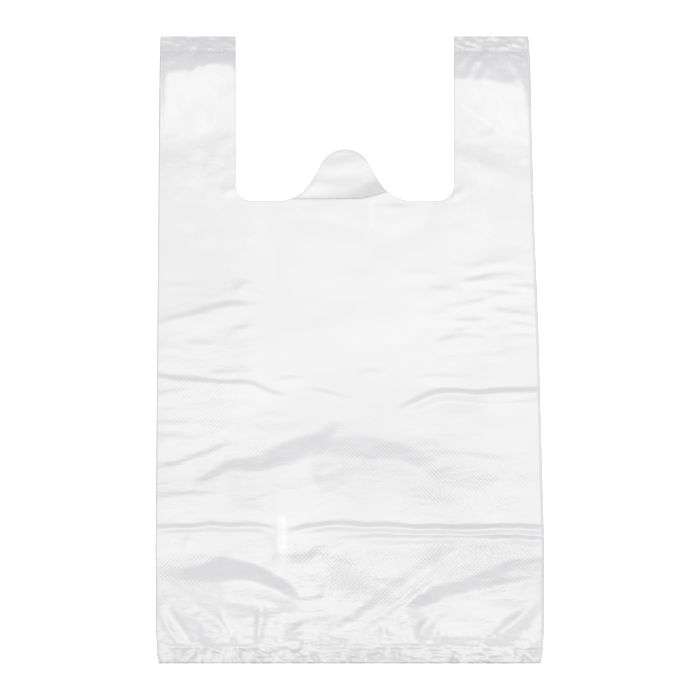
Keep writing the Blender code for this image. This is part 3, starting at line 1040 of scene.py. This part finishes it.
def milkyFilm():
    material, shader = newMaterial("milkyFilm")
    desk = Desk(material.node_tree)
    place = desk.wire("ShaderNodeTexCoord", output="Object")
    split = desk.node("ShaderNodeSeparateXYZ", inputs={0: place})
    x, y = Wire(desk, split.outputs["X"]), Wire(desk, split.outputs["Y"])
    handled = desk.attribute("handled")

    height = rollerPattern(desk, place, x, y) + smallCreases(desk, place, handled) + fineWrinkles(desk, place)
    desk.feed(shader.inputs["Normal"], desk.bump(height))

    cloud = desk.span(desk.noise(place, 7.0, 3.0), 0.35, 0.65)
    tone = desk.blend(cloud, filmLook["color"], filmLook["thinColor"])
    # painted shade: the most handled film is darkened, standing in for the sheen that crumpled film loses
    tone = desk.blend(handled * filmLook["lostSheenShare"], tone, filmLook["lostSheenShade"])
    # painted highlights, and the paler patches where the sheets cling
    tone = desk.blend(highlightsAndCling(desk, place, x, y), tone, filmLook["highlightColor"])
    # painted shade along the edges and in the weld strips, put into the base colour
    tone = desk.blend(desk.attribute("paintedEdgeShade"), tone, filmLook["edgeShadeColor"])
    desk.feed(shader.inputs["Base Color"], tone)
    desk.feed(shader.inputs["Roughness"], cloud * filmLook["roughnessSpread"] + filmLook["roughness"])
    shader.inputs["IOR"].default_value = filmLook["refraction"]
    shader.inputs["Alpha"].default_value = filmLook["alpha"]
    return material


bagFilm = thicken(buildFilm(), "bagFilm", film["thickness"])
bagFilm.data.materials.append(milkyFilm())
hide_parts("carrier_bag")
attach(bagFilm, "root")
print("film made:", sum(len(face.vertices) - 2 for face in bagFilm.data.polygons), "triangles")

# Small melted dashes that the sealing bars leave along the welds.
sealLook = {
    "spacing": 0.0036,
    "length": 0.0028,
    "width": 0.0010,
    "height": 0.00030,
    "unevenness": 0.45,
    "sway": 0.25,  # how far a dash may turn, in radians
    "kept": 0.62,  # share of the dashes that show
    "seed": 5,
    "sunk": 0.00004,  # how far a dash sits into the film
    "pathStep": 0.0015,
    "endGap": 0.003,  # between a weld's end and its first dash
    "dropFrom": 0.1,  # the height that rays are cast down from
    "color": (0.97, 0.97, 0.975, 1),
    "dullColor": (0.80, 0.80, 0.81, 1),
    "roughness": 0.35,
    "roughnessSpread": 0.2,
    "speckleDepth": 0.00005,
}


def sealPath():
    # Points along the three welds, each dropped onto the film from above.
    surface = BVHTree.FromObject(bagFilm, bpy.context.evaluated_depsgraph_get())
    runs = [(leftFold(bottomWeldY), rightFold(bottomWeldY), bottomWeldY),
            (leftFold(handleWeldY), innerLeft, handleWeldY),
            (innerRight, rightFold(handleWeldY), handleWeldY)]
    points, edges = [], []
    for low, high, y in runs:
        start = len(points)
        for x in np.arange(low + sealLook["endGap"], high - sealLook["endGap"], sealLook["pathStep"]):
            hit = surface.ray_cast(Vector((x, y, sealLook["dropFrom"])), Vector((0, 0, -1)))[0]
            points.append((x, y, hit.z - sealLook["sunk"]))
        edges += [(i, i + 1) for i in range(start, len(points) - 1)]
    path = bpy.data.meshes.new("sealPath")
    path.from_pydata(points, edges, [])
    return path


def sealTree():
    # Dashes along a path: how far apart, how big, how many are kept, and what they are made of.
    tree = bpy.data.node_groups.new("sealDashes", "GeometryNodeTree")
    kinds = {"Path": "Geometry", "Spacing": "Float", "Length": "Float", "Width": "Float", "Height": "Float",
             "Unevenness": "Float", "Kept": "Float", "Seed": "Int", "Material": "Material"}
    for name, kind in kinds.items():
        tree.interface.new_socket(name, in_out="INPUT", socket_type="NodeSocket" + kind)
    tree.interface.new_socket("Dashes", in_out="OUTPUT", socket_type="NodeSocketGeometry")
    desk = Desk(tree)
    given = {socket.name: Wire(desk, socket) for socket in desk.node("NodeGroupInput").outputs if socket.name}
    seed, uneven = given["Seed"], given["Unevenness"]

    curve = desk.wire("GeometryNodeMeshToCurve", inputs={"Mesh": given["Path"]})
    evenly = {"Curve": curve, "Length": given["Spacing"]}
    evenly = desk.wire("GeometryNodeResampleCurve", {"mode": "LENGTH"}, evenly)
    chosen = {"Probability": given["Kept"], "Seed": seed}
    chosen = desk.wire("FunctionNodeRandomValue", {"data_type": "BOOLEAN"}, chosen, 3)

    tangent = desk.wire("GeometryNodeInputTangent")
    turn = desk.wire("FunctionNodeAlignRotationToVector", {"axis": "X"}, {"Vector": tangent})
    sway = desk.chance(-sealLook["sway"], sealLook["sway"], seed + 1)
    sway = {"Rotation": turn, "Rotate By": desk.wire("ShaderNodeCombineXYZ", inputs={"Z": sway})}
    turn = desk.wire("FunctionNodeRotateRotation", {"rotation_space": "LOCAL"}, sway)

    length = given["Length"] * desk.chance(1 - uneven, 1 + uneven, seed + 2)
    size = {"X": length, "Y": given["Width"], "Z": given["Height"]}
    size = desk.wire("ShaderNodeCombineXYZ", inputs=size)
    bead = desk.wire("GeometryNodeMeshUVSphere", inputs={"Segments": 10, "Rings": 6, "Radius": 0.5})
    placed = {"Points": evenly, "Selection": chosen, "Instance": bead, "Rotation": turn, "Scale": size}
    placed = desk.wire("GeometryNodeInstanceOnPoints", inputs=placed)
    real = desk.wire("GeometryNodeRealizeInstances", inputs={"Geometry": placed})
    finished = {"Geometry": real, "Material": given["Material"]}
    finished = desk.wire("GeometryNodeSetMaterial", inputs=finished)
    desk.node("NodeGroupOutput", inputs={"Dashes": finished})
    return tree


def sealFinish():
    material, shader = newMaterial("sealFinish")
    desk = Desk(material.node_tree)
    speckle = desk.noise(desk.wire("ShaderNodeTexCoord", output="Object"), 900.0, 2.0)
    desk.feed(shader.inputs["Base Color"], desk.blend(speckle, sealLook["dullColor"], sealLook["color"]))
    desk.feed(shader.inputs["Roughness"], speckle * sealLook["roughnessSpread"] + sealLook["roughness"])
    desk.feed(shader.inputs["Normal"], desk.bump(speckle * sealLook["speckleDepth"]))
    return material


def makeSealMarks():
    carrier = inScene("sealCarrier", sealPath())
    tree = sealTree()
    dashes = carrier.modifiers.new("dashes", "NODES")
    dashes.node_group = tree
    values = sealLook | {"material": sealFinish()}
    for item in tree.interface.items_tree:
        if item.in_out == "INPUT" and item.name.lower() in values:
            dashes[item.identifier] = values[item.name.lower()]
    return inScene("sealMarks", finalMesh(carrier, "sealMarks"))


sealMarks = makeSealMarks()
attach(sealMarks, "root")
print("seal marks made:", len(sealMarks.data.polygons), "faces")

# The table, the lights and the camera.
stageLook = {
    "table": (0.96, 0.96, 0.96, 1),
    "tableReach": 4.0,
    "tableRoughness": 0.8,
    "tableGlow": 0.42,
    "tableGap": 0.0001,  # below the bag
    "skyColor": (0.86, 0.85, 0.99, 1),
    "skyStrength": 0.455,
    "lampColor": (1.0, 1.0, 0.915),
    # each lamp's size, energy and place
    "lamps": {
        "lowSoftbox": ((4.0, 2.4), 39.0, (1.0, -5.0, 2.9)),
        "topSoftbox": ((3.2, 2.3), 141.0, (0.3, -0.5, 5.0)),
    },
    "viewWidth": 0.560,
    "cameraHeight": 4.0,
    "sensorWidth": 36,  # mm
}


def makeTable():
    mesh = bpy.data.meshes.new("table")
    bm = bmesh.new()
    bmesh.ops.create_grid(bm, x_segments=1, y_segments=1, size=stageLook["tableReach"])
    bm.to_mesh(mesh)
    bm.free()
    table = inScene("table", mesh)
    material, shader = newMaterial("paleTable")
    shader.inputs["Base Color"].default_value = stageLook["table"]
    shader.inputs["Roughness"].default_value = stageLook["tableRoughness"]
    shader.inputs["Emission Color"].default_value = (1, 1, 1, 1)
    shader.inputs["Emission Strength"].default_value = stageLook["tableGlow"]
    mesh.materials.append(material)
    table.location.z = bagLow[2] - stageLook["tableGap"]


def makeLamp(name, size, energy, place):
    # A soft rectangular lamp that faces the bag.
    light = bpy.data.lights.new(name, "AREA")
    light.shape = "RECTANGLE"
    light.size, light.size_y = size
    light.energy = energy
    light.color = stageLook["lampColor"]
    lamp = inScene(name, light)
    lamp.location = place
    lamp.rotation_euler = (-Vector(place)).to_track_quat("-Z", "Y").to_euler()


def makeRoom():
    world = bpy.data.worlds.new("room")
    bpy.context.scene.world = world
    world.use_nodes = True
    sky = world.node_tree.nodes["Background"]
    sky.inputs["Color"].default_value = stageLook["skyColor"]
    sky.inputs["Strength"].default_value = stageLook["skyStrength"]


def makeCamera():
    # Straight above the bag, and far enough off to see it without much perspective.
    view = bpy.data.cameras.new("camera")
    view.sensor_width = stageLook["sensorWidth"]
    view.lens = view.sensor_width * stageLook["cameraHeight"] / stageLook["viewWidth"]
    camera = inScene("camera", view)
    camera.location = (bagMiddle[0], bagMiddle[1], bagLow[2] + stageLook["cameraHeight"])
    bpy.context.scene.camera = camera


makeTable()
for lampName, lampValues in stageLook["lamps"].items():
    makeLamp(lampName, *lampValues)
makeRoom()
makeCamera()
bpy.context.scene.view_settings.view_transform = "Standard"
print("table, lights and camera ready")
